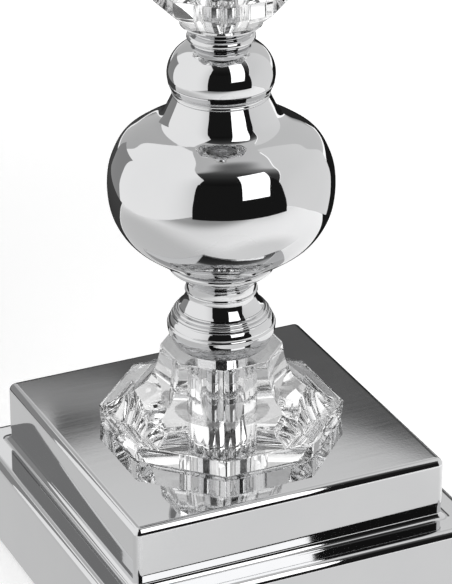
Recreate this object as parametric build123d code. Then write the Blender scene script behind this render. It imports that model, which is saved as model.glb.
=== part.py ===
from build123d import *
import math
import os

os.makedirs("parts", exist_ok=True)

# ---------------------------------------------------------------- dimensions
# Everything is in millimetres, +Z up, origin under the middle of the foot.
FELT = 2.0                 # felt pad under the foot
T = 63.0                   # top face of the upper plinth above the table
UP_HALF = 65.0             # upper plinth, half of its 130 mm side
UP_BOTTOM = T - 20.0       # upper plinth's lower rim
UP_EDGE = 3.2              # rounding of its top edge
UP_CORNER = 3.0            # rounding of its upright corners
LOW_HALF = 77.0            # lower plinth, half of its 154 mm side
LEDGE = T - 25.6           # lower plinth's ledge round the upper one
LOW_EDGE = 3.3             # rounding of the ledge's outer edge
SHELL = 1.6                # sheet thickness of the plinth shells

ROD_R = 5.0                # M10 x 1 lamp tube
ROD_BORE = 3.6
FIT_R = 5.15               # holes that slide over the tube

CR_RIM = 48.0              # crystal foot, vertex radius of its rim
CR_TOP = 23.6              # vertex radius of its top face
CR_BORE = 10.3

BALL_R = 43.35             # widest radius of the spun ball
BALL_WALL = 1.3

SLEEVE_R = 19.4            # lampholder sleeve that takes the shade rings
CAP_R = 13.1               # E27 screw cap of the bulb
BULB_R = 30.0              # A60 bulb

RISE = 178.0               # how far the long column tube lifts the lampholder
COL_TOP = 440.0            # column tube's upper end above the plinth's top

SH_BOT_R = 127.0           # shade, lower outside radius
SH_TOP_R = 102.0           # shade, upper outside radius
SH_BOT = T + RISE + 292.0  # shade's lower edge
SH_TOP = SH_BOT + 200.0    # shade's upper edge
SH_FABRIC = 0.8            # fabric skin
SH_LINER = 0.7             # stiff liner behind the fabric
WIRE_R = 1.4               # shade frame wire


# ------------------------------------------------------------------- helpers
def pt(p):
    return (p[0], 0.0, p[1])


def lathe(start, *path):
    """Turned piece: a closed half section of (radius, height) points, revolved
    about Z. Two numbers make a line, four a three-point arc, a list a spline."""
    edges = []
    p = start
    for seg in path:
        if isinstance(seg, list):
            edges.append(Edge.make_spline([Vector(*pt(p))] + [Vector(*pt(q)) for q in seg]))
            p = seg[-1]
        elif len(seg) == 4:
            edges.append(Edge.make_three_point_arc(pt(p), pt(seg[:2]), pt(seg[2:])))
            p = seg[2:]
        else:
            edges.append(Edge.make_line(pt(p), pt(seg)))
            p = seg
    edges.append(Edge.make_line(pt(p), pt(start)))
    return revolve(Face(Wire(edges)), Axis.Z)


def above(z):
    """Height above the plinth's top face."""
    return T + z


def up(z):
    """The same, where the pieces past the column tube stand RISE higher."""
    return T + z + (RISE if z > 245.0 else 0.0)


def lift(*pts, up=up):
    """Section points whose heights count from the plinth's top face."""
    out = []
    for p in pts:
        if isinstance(p, list):
            out.append([(q[0], up(q[1])) for q in p])
        elif len(p) == 4:
            out.append((p[0], up(p[1]), p[2], up(p[3])))
        else:
            out.append((p[0], up(p[1])))
    return out


def disc(r, z0, z1):
    return Pos(0, 0, (z0 + z1) / 2) * Cylinder(r, z1 - z0)


def ring(r0, r1, z0, z1):
    return disc(r1, z0, z1) - disc(r0, z0 - 1, z1 + 1)


def block(hx, hy, z0, z1):
    return Pos(0, 0, (z0 + z1) / 2) * Box(2 * hx, 2 * hy, z1 - z0)


def octagon(radius, z):
    pts = [
        (radius * math.cos(math.radians(22.5 + 45 * k)),
         radius * math.sin(math.radians(22.5 + 45 * k)), z)
        for k in range(8)
    ]
    return Face(Wire.make_polygon(pts, close=True))


def octagonal(sections):
    """Cut crystal: octagons of (vertex radius, height), joined by flat facets."""
    body = None
    for (r0, z0), (r1, z1) in zip(sections, sections[1:]):
        piece = Solid.make_loft(
            [octagon(r0, z0).outer_wire(), octagon(r1, z1).outer_wire()], True
        )
        body = piece if body is None else body + piece
    return body


def hexagon_nut(af, r, z0, z1):
    return Pos(0, 0, z0) * extrude(
        RegularPolygon(af / math.sqrt(3), 6) - Circle(r), z1 - z0
    )


def tube_between(a, b, r):
    a, b = Vector(*a), Vector(*b)
    d = b - a
    return Solid.make_cylinder(r, d.length, Plane(origin=a, z_dir=d.normalized()))


def save(name, solid):
    solid = solid if isinstance(solid, Compound) else Part([solid]) if isinstance(solid, Solid) else solid
    export_step(solid, os.path.join("parts", name + ".step"))


parts = {}

# ---------------------------------------------------------------- weighted foot
pad = Rectangle(2 * 75.5, 2 * 75.5)
pad = fillet(pad.vertices(), 4)
parts["felt_pad"] = extrude(pad, FELT)

# Lower plinth: the same moulded section runs along both directions, so the
# corners are mitred.
low_section = [
    (LOW_HALF, FELT, None),
    (LOW_HALF, LEDGE - LOW_EDGE, None),
    (LOW_HALF - LOW_EDGE, LEDGE,                           # rounded outer edge
     (LOW_HALF - 0.293 * LOW_EDGE, LEDGE - 0.293 * LOW_EDGE)),
    (67.4, LEDGE, None),                                   # ledge
    (64.8, LEDGE + 2.6, (65.56, LEDGE + 0.76)),            # cove
    (64.8, UP_BOTTOM, None),
]


def arc_points(p, m, q, n=7):
    """Points on the circle from p through m to q, without p."""
    ax, ay, bx, by, cx, cy = *p, *m, *q
    d = 2 * (ax * (by - cy) + bx * (cy - ay) + cx * (ay - by))
    ux = ((ax**2 + ay**2) * (by - cy) + (bx**2 + by**2) * (cy - ay) + (cx**2 + cy**2) * (ay - by)) / d
    uy = ((ax**2 + ay**2) * (cx - bx) + (bx**2 + by**2) * (ax - cx) + (cx**2 + cy**2) * (bx - ax)) / d
    a0, a1, a2 = (math.atan2(y - uy, x - ux) for x, y in (p, m, q))
    turn = (a2 - a0) % (2 * math.pi)
    if (a1 - a0) % (2 * math.pi) > turn:
        turn -= 2 * math.pi
    r = math.hypot(ax - ux, ay - uy)
    out = [(ux + r * math.cos(a0 + turn * k / n), uy + r * math.sin(a0 + turn * k / n)) for k in range(1, n)]
    return out + [q]


def half_outline(section):
    pts = [section[0][:2]]
    for a, z, mid in section[1:]:
        pts += [(a, z)] if mid is None else arc_points(pts[-1], mid, (a, z))
    loop = [(a, 0, z) for a, z in pts] + [(-a, 0, z) for a, z in reversed(pts)]
    return Face(Wire.make_polygon(loop, close=True))


run = Pos(0, 100, 0) * extrude(half_outline(low_section), 200, dir=(0, -1, 0))
low = run & (Rot(0, 0, 90) * run)
low -= block(LOW_HALF - 1.8, LOW_HALF - 1.8, FELT - 1, LEDGE - 3.2)
low -= block(62.5, 62.5, 27.0, UP_BOTTOM - 2.0)
low -= disc(FIT_R, 30, 60)
GROM_Z = 14.0
grom_hole = Pos(0, LOW_HALF - 1, GROM_Z) * Rot(90, 0, 0) * Cylinder(5.5, 10)
low -= grom_hole
parts["lower_plinth"] = low

up_outer = Rectangle(2 * UP_HALF, 2 * UP_HALF)
up_outer = fillet(up_outer.vertices(), UP_CORNER)
shell = Pos(0, 0, UP_BOTTOM) * extrude(up_outer, T - UP_BOTTOM)
top_edges = [e for e in shell.edges() if e.center().Z > T - 0.01]
shell = fillet(top_edges, UP_EDGE)
shell -= block(UP_HALF - SHELL, UP_HALF - SHELL, UP_BOTTOM - 1, T - 2.0)
shell -= disc(FIT_R, T - 10, T + 10)
parts["upper_plinth"] = shell

# Ballast hangs from the lower plinth's ceiling, clamped by the nut.
BAL0, BAL1 = 13.0, UP_BOTTOM - 2.0
ballast = block(58, 58, BAL0, BAL1)
ballast = chamfer([e for e in ballast.edges().filter_by(Axis.Z)], 4)
ballast -= disc(FIT_R + 0.15, 0, 60)
parts["ballast_block"] = ballast
parts["flat_washer"] = ring(FIT_R, 16.0, 11.0, BAL0)
parts["lock_washer"] = ring(FIT_R, 8.5, 9.6, 11.0) - Pos(7, 0, 10.3) * Box(5, 1.2, 4)
parts["bottom_nut"] = hexagon_nut(14.0, ROD_R, 5.6, 9.6)

posts, screws = [], []
for sx in (-1, 1):
    for sy in (-1, 1):
        x, y = 45 * sx, 45 * sy
        posts.append(Pos(x, y, 0) * (Pos(0, 0, 3.6) * extrude(RegularPolygon(4.2, 6) - Circle(2.0), BAL0 - 3.6)))
        head = Pos(x, y, 2.8) * Cone(3.8, 2.0, 1.6)
        slot = Pos(x, y, 2.2) * Box(5.5, 0.9, 0.8)
        stem = Pos(x, y, 3.6 + 3.7) * Cylinder(2.0, 7.4)
        screws.append(head + stem - slot)
parts["cover_posts"] = Compound(children=[p.solid() for p in posts])
parts["cover_screws"] = Compound(children=[s.solid() for s in screws])
cover = Rectangle(2 * 74.8, 2 * 74.8)
cover = fillet(cover.vertices(), 2)
cover = Pos(0, 0, FELT) * extrude(cover, 1.6)
for sx in (-1, 1):
    for sy in (-1, 1):
        cover -= Pos(45 * sx, 45 * sy, 2.8) * Cone(3.8, 2.0, 1.6)
parts["base_cover"] = cover

# Rubber bush of the lead's inlet, in the rear wall.
g = lathe(
    (3.25, 74.2), (6.6, 74.2), (6.9, 74.5), (6.9, 75.2), (5.5, 75.2), (5.5, 77.0),
    (7.2, 77.0), (7.2, 78.0), (6.6, 78.8), (3.8, 78.8), (3.25, 78.3),
)
parts["cable_grommet"] = Pos(0, 0, GROM_Z) * Rot(-90, 0, 0) * g

# -------------------------------------------------------------- threaded tube
parts["centre_rod"] = ring(ROD_BORE, ROD_R, 4.6, up(277.5))   # one length, foot to lampholder

# ------------------------------------------------------------- crystal foot
parts["crystal_gasket_lower"] = ring(CR_BORE, 15.5, T, up(0.8))
crystal = octagonal([(r, up(z)) for r, z in (
    (CR_RIM - 0.5, 0.8), (CR_RIM, 7.7), (44.9, 8.8), (40.5, 10.2), (37.0, 12.0), (34.5, 13.8), (31.6, 16.0),
    (29.5, 17.9), (27.7, 20.4), (26.6, 22.4), (25.6, 24.8), (24.7, 28.5), (CR_TOP, 34.0),
)])
parts["crystal_base"] = crystal - disc(CR_BORE, up(-1), up(40))
parts["crystal_gasket_upper"] = ring(CR_BORE, 14.0, up(34.0), up(34.6))

# ------------------------------------------------------- turned chrome pieces
parts["foot_cup"] = lathe(*lift(
    (FIT_R, 34.6), (15.0, 34.6), (18.0, 35.3, 19.2, 37.0),
    [(20.25, 39.5), (20.9, 41.8), (21.05, 43.4)],
    (21.0, 44.0, 20.6, 44.45), (20.4, 44.6), (20.1, 45.9, 19.4, 47.1), (19.1, 47.3), (19.0, 47.8), (FIT_R, 47.8),
))
parts["foot_ring"] = lathe(*lift(
    (FIT_R, 47.8), (18.7, 47.8), (18.85, 48.5, 17.95, 49.0), (17.75, 49.1), (17.75, 49.9, 16.9, 50.3),
    (16.4, 50.5), (16.3, 51.0), (FIT_R, 51.0),
))
parts["spool"] = lathe(*lift(
    (FIT_R, 51.0), (16.0, 51.0), (16.3, 51.25),
    [(15.69, 52.0), (15.05, 53.0), (14.49, 54.0), (14.07, 55.0), (13.84, 56.0), (13.74, 57.4)],
    (14.0, 57.6), (14.12, 58.0, 14.0, 58.4), (13.55, 58.6),
    [(13.5, 60.0), (13.9, 62.0), (15.38, 64.0), (17.64, 66.0), (19.1, 67.1)],
    (19.5, 67.3), (20.25, 67.9, 20.5, 68.8), (20.45, 69.5, 19.9, 70.0), (FIT_R, 70.0),
))

ball_out = [
    (17.6, 70.2), (24.6, 73.2), (30.17, 77.0), (34.08, 80.0), (37.79, 84.0), (40.24, 88.0),
    (41.91, 92.0), (42.84, 96.0), (43.26, 100.0), (BALL_R, 103.0), (43.2, 106.0), (42.6, 110.0),
    (41.26, 114.0), (39.9, 117.0), (38.72, 119.0), (36.9, 121.0), (34.2, 122.95), (31.2, 124.95),
    (28.2, 126.6), (25.4, 128.0), (23.6, 129.15), (22.6, 130.2), (21.9, 131.3), (21.3, 132.6), (20.55, 134.2),
    (19.75, 135.9), (18.95, 137.6), (18.35, 139.0),
]


def inset(curve, d):
    out = []
    for i, (r, z) in enumerate(curve):
        a = curve[max(i - 1, 0)]
        b = curve[min(i + 1, len(curve) - 1)]
        tr, tz = b[0] - a[0], b[1] - a[1]
        n = math.hypot(tr, tz)
        out.append((r - d * tz / n, z + d * tr / n))
    return out


ball_in = inset(ball_out, BALL_WALL)
ball_in[0] = (16.6, 71.4)
ball_in[-1] = (17.05, 139.0)
parts["ball_body"] = lathe(*lift(
    (FIT_R, 70.0), (16.6, 70.0), ball_out[0], ball_out[1:], ball_in[-1], ball_in[-2::-1], (FIT_R, 71.4),
))
parts["ball_collar"] = lathe(*lift(
    (FIT_R, 139.0), (18.2, 139.0), (18.62, 139.5, 18.3, 140.0), (18.25, 140.2),
    [(18.45, 141.0), (18.95, 141.8)], (19.15, 142.0), [(19.55, 142.9), (20.0, 144.0)],
    (19.95, 144.3), (19.6, 144.5), (FIT_R, 144.5),
))
parts["knop"] = lathe(*lift(
    (FIT_R, 144.5), (19.7, 144.5), (20.1, 144.7),
    [(20.42, 147.0), (20.25, 149.5), (19.45, 152.2), (17.9, 154.9), (15.4, 157.4), (12.4, 159.3), (11.2, 159.8)],
    (11.0, 160.6), (FIT_R, 160.6),
))
parts["neck_ring"] = lathe(*lift(
    (FIT_R, 160.6), (11.4, 160.6), (13.0, 162.2, 11.4, 163.8), (10.7, 164.0), (10.7, 164.5),
    [(11.3, 165.4), (13.0, 166.5), (15.0, 167.2)], (15.5, 167.5), (15.5, 168.0), (FIT_R, 168.0),
))

# ------------------------------------------------------------ upper crystal
gaskets = [ring(7.0, 12.0, up(168.0), up(168.6)), ring(7.0, 11.0, up(192.6), up(193.2))]
parts["upper_crystal_gaskets"] = Compound(children=[s.solid() for s in gaskets])
upper = octagonal([(15.5, up(168.6)), (25.4, up(176.4)), (26.0, up(182.6)), (15.0, up(192.6))])
parts["upper_crystal"] = upper - disc(7.0, up(160), up(200))

parts["crystal_cup"] = lathe(*lift(
    (FIT_R, 193.2), (13.0, 193.2), (15.6, 194.4, 16.6, 197.0), (16.6, 199.6, 15.0, 201.3),
    (14.3, 201.6), (15.0, 202.5, 14.1, 203.3), [(12.4, 205.0), (11.2, 206.6), (10.8, 208.0)], (FIT_R, 208.0),
))
parts["column_tube"] = lathe(*lift(
    (FIT_R, 208.0), (10.4, 208.0), (11.6, 209.2, 10.4, 210.4),
    [(9.4, 212.0), (8.6, 220.0), (8.3, 235.0), (8.9, 270.0), (9.5, 310.0), (9.3, 350.0), (8.5, 395.0), (8.1, 415.0),
     (8.3, 426.0), (9.4, 435.0), (9.9, 436.6)],
    (11.3, 438.0, 10.1, 439.4), (9.9, COL_TOP), (FIT_R, COL_TOP),
    up=above,
))
parts["holder_cup"] = lathe(*lift(
    (FIT_R, 262.0), (10.8, 262.0), (11.2, 262.5),
    [(11.5, 264.0), (13.3, 268.0), (17.4, 272.4), (20.3, 275.0)], (21.0, 275.5), (21.0, 276.4), (20.4, 276.8),
    (19.9, 276.4), [(16.8, 273.4), (13.0, 270.2), (10.6, 268.6)], (9.4, 268.0), (FIT_R, 268.0),
))

# ---------------------------------------------------------------- lampholder
SW_Z = 285.0
cap = lathe(*lift(
    (FIT_R, 268.0), (8.6, 268.0), (8.6, 270.0), (12.6, 272.6),
    [(16.6, 276.4), (18.7, 280.0), (19.4, 283.0)], (19.4, 290.0),
    (17.6, 290.0), (17.6, 282.6), [(16.4, 279.2), (12.8, 276.0)], (10.0, 274.0), (FIT_R, 274.0),
))
cap -= Pos(0, 0, up(SW_Z)) * Rot(0, 90, 0) * Cylinder(2.6, 60)
parts["holder_cap"] = cap
parts["rod_top_nut"] = hexagon_nut(14.0, ROD_R, up(274.0), up(277.0))
sw_block = block(8.0, 6.0, up(279.0), up(289.7)) - Pos(0, 0, up(SW_Z)) * Rot(0, 90, 0) * Cylinder(2.6, 60)
parts["switch_block"] = sw_block
bar = Pos(2.0, 0, up(SW_Z)) * Rot(0, 90, 0) * Cylinder(2.2, 50)
bar = fillet(bar.edges(), 0.9)
parts["switch_bar"] = bar

insert = disc(17.2, up(290.0), up(296.0)) - ring(9.0, 11.0, up(293.5), up(300)) - Pos(0, 0, up(290)) * Box(4.2, 30, 2.0)
parts["holder_insert"] = insert
sleeve = ring(17.5, SLEEVE_R - 0.5, up(290.0), up(328.0))
for k in range(12):
    z = 300.4 + 2.0 * k
    sleeve += lathe(*lift((17.6, z), (SLEEVE_R - 0.5, z), (SLEEVE_R, z + 0.4), (SLEEVE_R, z + 0.8),
                          (SLEEVE_R - 0.5, z + 1.2), (17.6, z + 1.2)))
sleeve += ring(17.5, SLEEVE_R, up(290.0), up(299.6))
parts["holder_sleeve"] = sleeve
parts["holder_shell"] = lathe(*lift(
    (13.55, 296.0), (16.6, 296.0), (16.6, 296.7), (14.2, 296.7), (14.2, 322.0), (14.9, 323.2), (14.5, 323.6), (13.55, 322.4),
))
contact = Pos(0, 0, up(297.2)) * Box(5.0, 9.0, 2.4)
contact = chamfer([e for e in contact.edges().filter_by(Axis.X) if e.center().Z > up(298)], 1.2)
parts["centre_contact"] = contact


def shade_ring(z0, z1):
    body = lathe(*lift(
        (19.8, z0), (25.6, z0), (26.6, z0 + 1.0), (26.6, z1 - 1.0), (25.6, z1), (19.8, z1),
    ))
    for k in range(24):
        body -= Rot(0, 0, 15 * k) * Pos(27.6, 0, up((z0 + z1) / 2)) * Cylinder(1.8, 20)
    return body


parts["shade_ring_lower"] = shade_ring(300.0, 305.8)
parts["shade_ring_upper"] = shade_ring(309.0, 315.6)

# ---------------------------------------------------------------------- bulb
parts["bulb_tip"] = lathe(*lift((0.0, 298.9), (3.6, 298.9), (4.6, 299.8), (4.6, 301.0), (0.0, 301.0)))
parts["bulb_insulator"] = lathe(*lift((0.0, 301.0), (5.6, 301.0), (12.2, 304.4), (12.2, 305.0), (0.0, 305.0)))
cap_pts = [(11.6, 305.0), (12.4, 305.0)]
for k in range(5):
    z = 306.2 + 3.6 * k
    cap_pts += [(12.45, z), (CAP_R, z + 1.1), (CAP_R, z + 1.9), (12.45, z + 3.0)]
cap_pts += [(12.9, 325.0), (12.9, 330.0), (11.6, 330.0)]
parts["bulb_cap"] = lathe(*lift(*cap_pts))
glass_out = [(12.0, 331.0), (13.6, 336.0), (17.6, 345.0), (23.4, 355.0), (27.9, 364.0), (29.8, 372.0),
             (BULB_R, 377.0), (29.0, 385.0), (25.8, 393.0), (20.2, 400.0), (12.0, 404.8), (6.0, 406.4), (0.0, 406.8)]
gin = inset(glass_out, 0.8)
gin[-1] = (0.0, 406.0)
gin[0] = (11.0, 331.4)
parts["bulb_glass"] = lathe(*lift(
    (10.8, 322.0), (11.55, 322.0), (11.55, 330.05), glass_out[0], glass_out[1:], gin[-1], gin[-2::-1], (10.8, 330.4),
))
parts["bulb_stem"] = lathe(*lift(
    (0.0, 324.0), (7.6, 324.0), [(5.4, 331.0), (3.4, 338.0), (3.0, 348.0)], (3.0, 354.0), (2.2, 356.0), (0.0, 356.0),
))
fil = []
for k in range(4):
    a = math.radians(45 + 90 * k)
    fil.append(tube_between((6.5 * math.cos(a), 6.5 * math.sin(a), up(356.6)),
                            (11.0 * math.cos(a), 11.0 * math.sin(a), up(392.0)), 1.0))
parts["bulb_filaments"] = Compound(children=[f for f in fil])

# --------------------------------------------------------------------- shade
SLOPE = (SH_BOT_R - SH_TOP_R) / (SH_TOP - SH_BOT)


def shade_r(z):
    return SH_BOT_R - SLOPE * (z - SH_BOT)


def cone_skin(z0, z1, off0, off1):
    """Conical band between two offsets outward from the shade's outside face."""
    return lathe((shade_r(z0) + off0, z0), (shade_r(z0) + off1, z0),
                 (shade_r(z1) + off1, z1), (shade_r(z1) + off0, z1))


parts["shade_fabric"] = cone_skin(SH_BOT, SH_TOP, -SH_FABRIC, 0.0)
parts["shade_liner"] = cone_skin(SH_BOT, SH_TOP, -SH_FABRIC - SH_LINER, -SH_FABRIC)
parts["shade_trim_bottom"] = cone_skin(SH_BOT, SH_BOT + 10.0, 0.0, 0.7)
parts["shade_trim_top"] = cone_skin(SH_TOP - 10.0, SH_TOP, 0.0, 0.7)


def wire_ring(z):
    r = shade_r(z) - SH_FABRIC - SH_LINER - WIRE_R - 0.15
    return r, Pos(0, 0, z) * Torus(r, WIRE_R)


RB, bottom_wire = wire_ring(SH_BOT + 2.0)
RT, top_wire = wire_ring(SH_TOP - 2.0)
parts["shade_bottom_wire"] = bottom_wire
parts["shade_top_wire"] = top_wire
carrier = ring(20.6, 27.8, up(306.2), up(308.4))
parts["shade_carrier"] = carrier
arms = []
for k in range(3):
    a = math.radians(90 + 120 * k)
    p = (26.5 * math.cos(a), 26.5 * math.sin(a), up(307.3))
    q = (RB * math.cos(a), RB * math.sin(a), SH_BOT + 2.0)
    arm = tube_between(p, q, WIRE_R)
    arm = arm - carrier - bottom_wire - disc(27.8, up(290), up(330))
    arms.append(max(arm.solids(), key=lambda s: s.volume))
parts["shade_arms"] = Compound(children=arms)

for name, solid in parts.items():
    save(name, solid)
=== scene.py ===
import math

import bmesh
import bpy
import numpy as np
from mathutils import Matrix, Vector, noise


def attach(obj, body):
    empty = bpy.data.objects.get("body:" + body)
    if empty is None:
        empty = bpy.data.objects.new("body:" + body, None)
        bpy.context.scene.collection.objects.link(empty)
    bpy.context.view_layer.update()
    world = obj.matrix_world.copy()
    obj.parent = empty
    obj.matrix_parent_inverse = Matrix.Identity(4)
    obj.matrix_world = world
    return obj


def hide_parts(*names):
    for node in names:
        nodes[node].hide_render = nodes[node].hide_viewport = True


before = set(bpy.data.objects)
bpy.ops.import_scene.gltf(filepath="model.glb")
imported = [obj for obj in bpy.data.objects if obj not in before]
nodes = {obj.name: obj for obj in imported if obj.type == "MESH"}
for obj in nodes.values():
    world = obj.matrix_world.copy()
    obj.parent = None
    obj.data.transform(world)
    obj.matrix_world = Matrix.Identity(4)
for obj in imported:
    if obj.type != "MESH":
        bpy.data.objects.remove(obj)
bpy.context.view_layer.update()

MM = 0.001
T = 63.0                   # top face of the upper plinth above the table
RISE = 178.0               # how far the long column tube lifts the lampholder
FIT_R = 5.15
col = bpy.context.scene.collection


# ================================================================== materials
def new_mat(name):
    m = bpy.data.materials.new(name)
    m.use_nodes = True
    nt = m.node_tree
    return m, nt, nt.nodes["Principled BSDF"]


def N(nt, kind, **vals):
    n = nt.nodes.new(kind)
    for k, v in vals.items():
        setattr(n, k, v)
    return n


def L(nt, a, b):
    nt.links.new(a, b)


def coords(nt, out="Object", scale=(1, 1, 1), rot=(0, 0, 0)):
    tc = N(nt, "ShaderNodeTexCoord")
    mp = N(nt, "ShaderNodeMapping")
    mp.inputs["Scale"].default_value = scale
    mp.inputs["Rotation"].default_value = rot
    L(nt, tc.outputs[out], mp.inputs["Vector"])
    return mp.outputs["Vector"]


def noise_tex(nt, vec, scale, detail=3.0, rough=0.55):
    n = N(nt, "ShaderNodeTexNoise")
    n.inputs["Scale"].default_value = scale
    n.inputs["Detail"].default_value = detail
    n.inputs["Roughness"].default_value = rough
    L(nt, vec, n.inputs["Vector"])
    return n.outputs["Fac"]


def remap(nt, fac, a0, a1, b0, b1, smooth=False):
    r = N(nt, "ShaderNodeMapRange")
    if smooth:
        r.interpolation_type = "SMOOTHSTEP"
    r.inputs["From Min"].default_value = a0
    r.inputs["From Max"].default_value = a1
    r.inputs["To Min"].default_value = b0
    r.inputs["To Max"].default_value = b1
    L(nt, fac, r.inputs["Value"])
    return r.outputs["Result"]


def math_node(nt, op, a, b=None):
    n = N(nt, "ShaderNodeMath", operation=op)
    for k, v in ((0, a), (1, b)):
        if v is None:
            continue
        if isinstance(v, (int, float)):
            n.inputs[k].default_value = v
        else:
            L(nt, v, n.inputs[k])
    return n.outputs[0]


def ramp(nt, fac, *stops):
    r = N(nt, "ShaderNodeValToRGB")
    els = r.color_ramp.elements
    while len(els) < len(stops):
        els.new(0.5)
    for e, (pos, c) in zip(els, stops):
        e.position = pos
        e.color = (*c, 1.0)
    L(nt, fac, r.inputs["Fac"])
    return r.outputs["Color"]


def bump(nt, bsdf, height, strength, distance):
    b = N(nt, "ShaderNodeBump")
    b.inputs["Strength"].default_value = strength
    b.inputs["Distance"].default_value = distance
    L(nt, height, b.inputs["Height"])
    L(nt, b.outputs["Normal"], bsdf.inputs["Normal"])


def chrome(name, lo=0.012, hi=0.04, tone=0.66, streak=None):
    """Mirror plating: a faint haze that comes and goes, and polishing marks."""
    m, nt, b = new_mat(name)
    v = coords(nt)
    haze = noise_tex(nt, v, 38.0, 4.0)
    fine = noise_tex(nt, v, 900.0, 2.0)
    both = math_node(nt, "ADD", math_node(nt, "MULTIPLY", haze, 0.75), math_node(nt, "MULTIPLY", fine, 0.25))
    if streak:
        s = noise_tex(nt, coords(nt, scale=streak), 1.0, 4.0, 0.65)
        both = math_node(nt, "ADD", math_node(nt, "MULTIPLY", both, 0.5), math_node(nt, "MULTIPLY", s, 0.5))
    L(nt, remap(nt, both, 0.32, 0.68, lo, hi), b.inputs["Roughness"])
    L(nt, ramp(nt, haze, (0.3, (tone * 0.97, tone * 0.975, tone * 0.985)), (0.7, (tone, tone * 1.002, tone * 1.008))),
      b.inputs["Base Color"])
    b.inputs["Metallic"].default_value = 1.0
    bump(nt, b, fine, 0.05, 2e-5)
    return m


def glass(name, ior=1.53, tint=(1.0, 1.0, 1.0)):
    m, nt, b = new_mat(name)
    v = coords(nt)
    n = noise_tex(nt, v, 60.0, 2.0)
    L(nt, ramp(nt, n, (0.2, tuple(0.985 * t for t in tint)), (0.8, tint)), b.inputs["Base Color"])
    L(nt, remap(nt, noise_tex(nt, v, 420.0, 3.0), 0.45, 0.8, 0.0, 0.012), b.inputs["Roughness"])
    b.inputs["IOR"].default_value = ior
    b.inputs["Transmission Weight"].default_value = 1.0
    return m


def clear(name):
    """Soft clear plastic, faintly cloudy."""
    m, nt, b = new_mat(name)
    v = coords(nt)
    L(nt, ramp(nt, noise_tex(nt, v, 500.0, 3.0), (0.3, (0.9, 0.905, 0.91)), (0.7, (0.97, 0.97, 0.975))), b.inputs["Base Color"])
    L(nt, remap(nt, noise_tex(nt, v, 900.0, 3.0), 0.3, 0.7, 0.1, 0.22), b.inputs["Roughness"])
    b.inputs["IOR"].default_value = 1.43
    b.inputs["Alpha"].default_value = 0.12
    return m


def plain(name, c0, c1, rough=(0.4, 0.6), scale=300.0, metallic=0.0, bump_d=2e-5, strength=0.3, coat=0.0):
    m, nt, b = new_mat(name)
    v = coords(nt)
    big, fine = noise_tex(nt, v, scale * 0.12, 3.0), noise_tex(nt, v, scale, 4.0)
    L(nt, ramp(nt, math_node(nt, "ADD", math_node(nt, "MULTIPLY", big, 0.5), math_node(nt, "MULTIPLY", fine, 0.5)),
               (0.35, c0), (0.65, c1)), b.inputs["Base Color"])
    L(nt, remap(nt, fine, 0.3, 0.7, *rough), b.inputs["Roughness"])
    b.inputs["Metallic"].default_value = metallic
    b.inputs["Coat Weight"].default_value = coat
    bump(nt, b, fine, strength, bump_d)
    return m


def weave(name, c0, c1, threads, depth, gloss=0.85):
    """Plain woven cloth: warp and weft over and under, with uneven slubs. The
    surface's own u and v run along the two yarns, in metres."""
    m, nt, b = new_mat(name)
    tc = N(nt, "ShaderNodeTexCoord")
    sep = N(nt, "ShaderNodeSeparateXYZ")
    L(nt, tc.outputs["UV"], sep.inputs[0])
    waver = noise_tex(nt, coords(nt, "UV", (60, 60, 1)), 1.0, 2.0)
    wob = math_node(nt, "MULTIPLY", math_node(nt, "SUBTRACT", waver, 0.5), 2.0)
    u = math_node(nt, "ADD", math_node(nt, "MULTIPLY", sep.outputs[0], threads * math.pi), wob)
    w = math_node(nt, "ADD", math_node(nt, "MULTIPLY", sep.outputs[1], threads * math.pi), wob)
    su, sw = math_node(nt, "SINE", u), math_node(nt, "SINE", w)
    over = math_node(nt, "MULTIPLY", su, sw)                       # which yarn is on top
    hu = math_node(nt, "ABSOLUTE", math_node(nt, "COSINE", u))
    hw = math_node(nt, "ABSOLUTE", math_node(nt, "COSINE", w))
    sel = remap(nt, over, -0.25, 0.25, 0.0, 1.0, True)
    height = math_node(nt, "ADD", math_node(nt, "MULTIPLY", hu, sel),
                       math_node(nt, "MULTIPLY", hw, math_node(nt, "SUBTRACT", 1.0, sel)))
    slub_u = noise_tex(nt, coords(nt, "UV", (2600, 26, 1)), 1.0, 3.0)
    slub_w = noise_tex(nt, coords(nt, "UV", (26, 2600, 1)), 1.0, 3.0)
    slub = math_node(nt, "MULTIPLY", math_node(nt, "ADD", slub_u, slub_w), 0.5)
    tone = math_node(nt, "ADD", math_node(nt, "MULTIPLY", height, 0.45), math_node(nt, "MULTIPLY", slub, 0.75))
    L(nt, ramp(nt, tone, (0.25, c0), (0.85, c1)), b.inputs["Base Color"])
    b.inputs["Roughness"].default_value = gloss
    b.inputs["Sheen Weight"].default_value = 0.15
    bump(nt, b, math_node(nt, "ADD", height, slub), 0.6, depth)
    return m


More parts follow.
